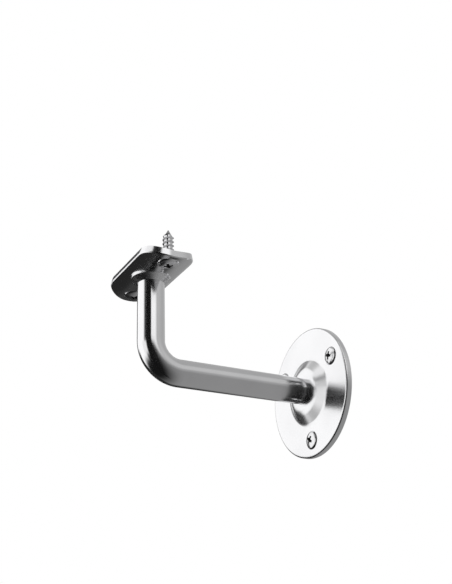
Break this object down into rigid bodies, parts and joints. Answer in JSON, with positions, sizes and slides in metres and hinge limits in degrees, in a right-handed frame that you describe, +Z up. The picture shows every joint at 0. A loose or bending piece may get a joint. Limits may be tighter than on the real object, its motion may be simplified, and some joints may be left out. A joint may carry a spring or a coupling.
{
  "type": "handrail bracket",
  "caption": "Bent round rod that holds a tubular handrail off a wall, between a round pressed wall plate with a domed centre and a curved saddle plate, with its countersunk screws.",
  "frame": {"origin": "centre of the wall plate's back face", "axes": "+X along the handrail, +Y into the wall, +Z up"},
  "size_m": [0.06, 0.1263, 0.0878],
  "materials": {
    "rod": "polished",
    "wall_plate": "polished, with faint turned rings",
    "saddle_plate": "polished",
    "saddle_weld": "polished",
    "plate_weld": "as welded",
    "screws": "polished heads"
  },
  "bodies": {
    "root": {"arm": "rod", "wall_plate": "wall_plate", "saddle_plate": "saddle_plate", "saddle_weld": "saddle_weld", "plate_weld": "plate_weld", "wall_screw_1": "screws", "wall_screw_2": "screws", "wall_screw_3": "screws", "rail_screw_1": "screws", "rail_screw_2": "screws"}
  },
  "joints": []
}
